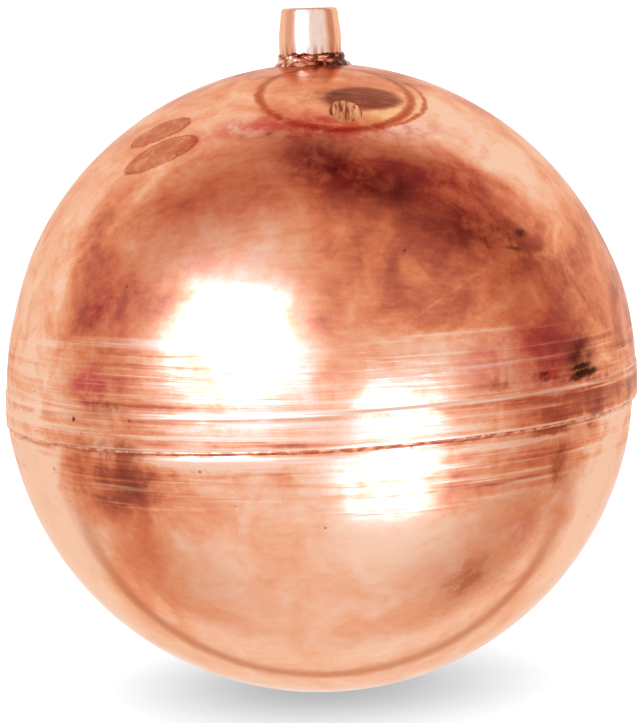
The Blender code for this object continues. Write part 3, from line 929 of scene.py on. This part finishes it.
def spud_copper():
    """Bright turned metal with fine tool marks, darker where the brazing heat reached it, and with
    painted shade down its sides.
    """
    nodes = new_material("turned_copper")
    per_mm = millimetres(nodes)
    rings = nodes.noise(nodes.stretched(per_mm, (0.05, 0.05, 6.0)), 1.0, 2.0)
    cloudy = nodes.noise(per_mm, 0.35, 4.0, 0.6, 0.5)
    runs = nodes.noise(nodes.stretched(per_mm, (0.9, 0.9, 0.12)), 1.0, 3.0)
    parts = nodes.add("SeparateXYZ", {0: per_mm}).outputs
    heat = nodes.product(nodes.between(parts["Z"], -8.0, -11.5), nodes.between(runs, 0.40, 0.60))
    radius = nodes.vector("LENGTH", nodes.vector("MULTIPLY", per_mm, (1, 1, 0)))
    bore = nodes.between(radius, 4.6, 4.1)
    # Its sides, towards -X and +X, are painted darker and more orange as shade; its front and back
    # keep the bright colour.
    aside = nodes.math("DIVIDE", nodes.math("ABSOLUTE", parts["X"]), radius)
    side_shade = nodes.between(aside, 0.42, 0.62)
    side_shade = nodes.product(side_shade, nodes.between(aside, 0.99, 0.90, 0.9, 1.0))
    colour = nodes.mix(nodes.between(cloudy, 0.40, 0.70, 0.0, 0.20), TURNED, WARM)
    colour = nodes.mix(nodes.product(side_shade, 0.85), colour, TURNED_SIDE_SHADE)
    colour = nodes.mix(nodes.product(nodes.between(runs, 0.5, 0.62), 0.2), colour, DEEP)
    colour = nodes.mix(nodes.product(heat, 0.75), colour, RUST)
    colour = nodes.stain(nodes.product(bore, 0.9), colour, UMBER)
    roughness = nodes.between(cloudy, 0.3, 0.7, 0.16, 0.26)
    roughness = nodes.math("ADD", roughness, nodes.product(bore, 0.25))
    tangent = nodes.add("Tangent", direction_type="RADIAL", axis="Z").outputs[0]
    turned = {"Anisotropic": 0.75, "Anisotropic Rotation": 0.25, "Tangent": tangent}
    return finish_material(nodes, colour, roughness, rings, 0.010 * MM, {**turned, **EDGE_TINT})


def braze_metal():
    """Brazing filler: bright where it flowed, black with scale and flux in the hollows."""
    nodes = new_material("braze_filler")
    per_mm = millimetres(nodes)
    lumps = nodes.noise(nodes.stretched(per_mm, (0.30, 0.30, 0.75)), 1.0, 4.0, 0.6, 0.8)
    fine = nodes.noise(per_mm, 2.6, 4.0, 0.6)
    aside = nodes.add("SeparateXYZ", {0: per_mm}).outputs["X"]
    scale = nodes.math("MULTIPLY_ADD", aside, 0.008, lumps)  # more of it towards +X
    colour = nodes.mix(nodes.between(scale, 0.40, 0.48), BRAZE, BRAZE_RUST)
    colour = nodes.mix(nodes.between(scale, 0.48, 0.58), colour, SCALE)
    roughness = nodes.between(fine, 0.3, 0.7, 0.22, 0.45)
    relief = nodes.math("ADD", lumps, nodes.math("MULTIPLY", fine, 0.25))
    return finish_material(nodes, colour, roughness, relief, 0.14 * MM)


def solder_metal():
    """Solder that was wiped and brushed with the copper, and took its colour."""
    nodes = new_material("wiped_solder")
    per_mm = millimetres(nodes)
    lumps = nodes.noise(per_mm, 0.45, 4.0, 0.55, 0.5)
    fine = nodes.noise(per_mm, 2.8, 3.0, 0.6)
    colour = nodes.mix(nodes.between(lumps, 0.38, 0.60), SOLDER, SOLDER_DARK)
    roughness = nodes.between(fine, 0.3, 0.7, 0.28, 0.42)
    relief = nodes.math("ADD", lumps, nodes.math("MULTIPLY", fine, 0.3))
    return finish_material(nodes, colour, roughness, relief, 0.04 * MM)


def vent_metal():
    """Solder drawn downhill in streaks, tanned by the heat like the sheet round it."""
    nodes = new_material("tanned_solder")
    per_mm = millimetres(nodes)
    streaks = nodes.stretched(per_mm, (1.25, 0.16, 0.16), (0, 0, 8))
    streaks = nodes.noise(streaks, 1.0, 3.0, 0.55, 0.3)
    fine = nodes.noise(per_mm, 2.8, 3.0, 0.6)
    colour = nodes.mix(nodes.between(streaks, 0.34, 0.50), TANNED, TANNED_DARK)
    colour = nodes.mix(nodes.between(streaks, 0.50, 0.60), colour, SEAM)
    roughness = nodes.between(fine, 0.3, 0.7, 0.26, 0.40)
    relief = nodes.math("SUBTRACT", nodes.math("MULTIPLY", fine, 0.1), streaks)
    return finish_material(nodes, colour, roughness, relief, 0.05 * MM, EDGE_TINT)


def floor_paper():
    """White paper, glowing a little as if lit from below, so that shadows on it stay light."""
    nodes = new_material("white_sweep")
    at = nodes.add("TexCoord").outputs["Object"]
    tooth = nodes.noise(at, 900.0, 2.0)
    colour = nodes.mix(tooth, (0.78, 0.78, 0.78), (0.82, 0.82, 0.82))
    inputs = {"Base Color": colour, "Roughness": 0.8, "Specular IOR Level": 0.1}
    glow = {"Emission Color": (1.0, 1.0, 1.0, 1.0), "Emission Strength": 0.45}
    shader = nodes.add("BsdfPrincipled", {**inputs, **glow})
    nodes.add("OutputMaterial", {"Surface": shader.outputs[0]})
    return nodes.material


# ---- studio


def make_floor():
    shape = bmesh.new()
    bmesh.ops.create_circle(shape, cap_ends=True, segments=96, radius=6.0)
    mesh = bpy.data.meshes.new("floor")
    shape.to_mesh(mesh)
    shape.free()
    mesh.materials.append(floor_paper())
    floor = bpy.data.objects.new("floor", mesh)
    floor.location = (0, 0, FLOOR_Z - 0.1 * MM)
    floor.visible_glossy = False  # the tent stands for the table in reflections
    bpy.context.scene.collection.objects.link(floor)


# From 0 straight down to 1 straight up: how much light the gap takes, and the front sends.
GAP_BY_HEIGHT = ((0, 0.06), (0.075, 0.3), (0.3, 0.3), (0.5, 0.34), (0.75, 0.36), (0.925, 0.5))
FRONT_BY_HEIGHT = ((0, 1.0), (0.25, 0.98), (0.5, 0.92), (0.75, 0.9), (0.925, 0.8))
# Dim light comes off warm surroundings: (level, colour).
WARMTH = (
    (0.0, (0.12, 0.035, 0.02)),
    (0.35, (0.48, 0.25, 0.18)),
    (0.60, (0.70, 0.51, 0.43)),
    (0.80, (0.86, 0.75, 0.69)),
    (1.0, (1.0, 1.0, 1.0)),
)
PLAIN = (1.5, 1.5, 1.5)  # the tent as the camera and the floor see it
EDGE_SLOPE = 0.78  # how far back the table's edge is, over the ball's height above the table


def make_world():
    """A white tent: a bright back and table, light panels in front, and a dim gap between them.

    The gap runs over the top of the ball and down both its sides. Only reflections see all
    this. Seen directly, or by the floor, the tent is plain white.
    """
    world = bpy.data.worlds.new("tent")
    bpy.context.scene.world = world
    world.use_nodes = True
    nodes = Nodes(world.node_tree)
    direction = nodes.add("TexCoord").outputs["Generated"]
    parts = nodes.add("SeparateXYZ", {0: direction}).outputs
    side, back = parts["X"], parts["Y"]
    up = nodes.math("MULTIPLY_ADD", parts["Z"], 0.5, 0.5)
    front = nodes.between(back, 0.05, -0.15)
    taken = nodes.math("SUBTRACT", 1.0, graded(nodes, up, FRONT_BY_HEIGHT))
    level = nodes.math("SUBTRACT", 1.0, nodes.product(front, taken))
    gap = nodes.product(nodes.between(back, -0.55, -0.05), nodes.between(back, 0.36, 0.20))
    gap = nodes.product(gap, graded(nodes, up, GAP_BY_HEIGHT))
    gap = nodes.product(gap, nodes.math("MULTIPLY_ADD", side, 0.30, 1.0))
    level = nodes.product(level, nodes.math("SUBTRACT", 1.0, gap))
    # The table's far edge, which the ball's lower side shows as a thin ring.
    off_edge = nodes.math("ABSOLUTE", nodes.math("MULTIPLY_ADD", parts["Z"], EDGE_SLOPE, back))
    edge = nodes.between(off_edge, 0.11, 0.03)
    edge = nodes.product(edge, nodes.between(parts["Z"], -0.15, -0.45), 0.46)
    level = nodes.product(level, nodes.math("SUBTRACT", 1.0, edge))
    light = graded(nodes, level, WARMTH)
    rays = nodes.add("LightPath").outputs
    plain = nodes.math("MAXIMUM", rays["Is Camera Ray"], rays["Is Diffuse Ray"])
    light = nodes.mix(plain, light, PLAIN)
    # The copper throws no light on the floor, so that the shadow stays grey.
    first = nodes.math("LESS_THAN", rays["Diffuse Depth"], 0.5)
    lit = nodes.math("MAXIMUM", plain, first)
    shown = nodes.add("Background", {"Color": light, "Strength": lit})
    nodes.add("OutputWorld", {"Surface": shown.outputs[0]})


COOL = (0.31, 0.61, 1.0)  # the lamps' colour, cooler than the tent

# Panels far off: name, shape, watts, (lon, lat) seen from the ball, metres away, width, height.
PANELS = (
    ("key", "RECTANGLE", 7.4, (-33, 21.4), 1.00, 0.68, 0.49),
    ("glow", "ELLIPSE", 2.9, (-30, 13), 1.05, 1.10, 0.85),
    ("halo", "ELLIPSE", 1.2, (-33, 21.129), 1.058, 1.40, 1.00),
)
# Cards close to the ball: name, shape, watts, height above its centre, width, height.
CARDS = (
    ("low_card", "RECTANGLE", 0.050, -47.5 * MM, 54 * MM, 49 * MM),
    ("high_card", "RECTANGLE", 0.0125, 1.5 * MM, 52 * MM, 16 * MM),
    ("low_glow", "ELLIPSE", 0.020, -47.0 * MM, 85 * MM, 76 * MM),
)
CARD_X, CARD_Y = 45 * MM, -125 * MM
CARD_AIM_X = 13 * MM  # each card faces this side of the ball's axis


def add_light(name, shape, watts, place, aim, width, height):
    data = bpy.data.lights.new(name, "AREA")
    data.energy, data.color = watts, COOL
    data.shape, data.size, data.size_y = shape, width, height
    light = bpy.data.objects.new(name, data)
    light.location = place
    light.rotation_euler = (aim - place).to_track_quat("-Z", "Y").to_euler()
    light.visible_camera = light.visible_diffuse = False
    bpy.context.scene.collection.objects.link(light)


def make_lights():
    """Soft panels, seen as the bright patches on the ball. They light nothing matt."""
    for name, shape, watts, towards, away, width, height in PANELS:
        place = CENTRE + on_ball(*towards, away)
        add_light(name, shape, watts, place, CENTRE, width, height)
    for name, shape, watts, z, width, height in CARDS:
        place = CENTRE + Vector((CARD_X, CARD_Y, z))
        aim = CENTRE + Vector((CARD_AIM_X, 0.0, z))
        add_light(name, shape, watts, place, aim, width, height)


# Camera: where it stands, how far the picture leans, and how large the ball shows in it.
CAMERA_ELEVATION = 7.2
CAMERA_ROLL = 1.8
CAMERA_DISTANCE = 8.5 * BALL_RADIUS
BALL_SHARE = 0.4354  # the ball's radius over the picture's height
BALL_LOW = 0.0224  # how far below the picture's middle its centre is, over the height
BALL_RIGHT = 0.001  # how far right of the middle its centre is, over the height
SENSOR = 36.0


def make_camera():
    focal_heights = BALL_SHARE / math.tan(math.asin(BALL_RADIUS / CAMERA_DISTANCE))
    data = bpy.data.cameras.new("camera")
    data.sensor_width = SENSOR
    data.lens = focal_heights * SENSOR
    data.clip_start, data.clip_end = 0.05, 50
    camera = bpy.data.objects.new("camera", data)
    bpy.context.scene.collection.objects.link(camera)
    back = on_ball(0, CAMERA_ELEVATION)
    camera.location = CENTRE + back * CAMERA_DISTANCE
    level = (-back).to_track_quat("-Z", "Y").to_matrix()
    roll = Matrix.Rotation(math.radians(-CAMERA_ROLL), 3, "Z")
    pitch = Matrix.Rotation(math.atan(BALL_LOW / focal_heights), 3, "X")
    yaw = Matrix.Rotation(math.atan(BALL_RIGHT / focal_heights), 3, "Y")
    camera.rotation_euler = (level @ roll @ pitch @ yaw).to_euler()
    bpy.context.scene.camera = camera


def main():
    copper, turned = shell_copper(), spud_copper()
    braze, solder, vent = braze_metal(), solder_metal(), vent_metal()
    make_upper_shell(copper)
    make_lower_shell(copper)
    make_seam_fillet(solder)
    make_spud(turned)
    make_braze_bead(braze)
    make_vent_drop(vent)
    for name, material in (("backing_disc", copper), ("inner_braze", braze)):
        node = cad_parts[name]
        node.data.materials.clear()
        node.data.materials.append(material)
    make_floor()
    make_world()
    make_lights()
    make_camera()
    bpy.context.scene.view_settings.view_transform = "Standard"


main()
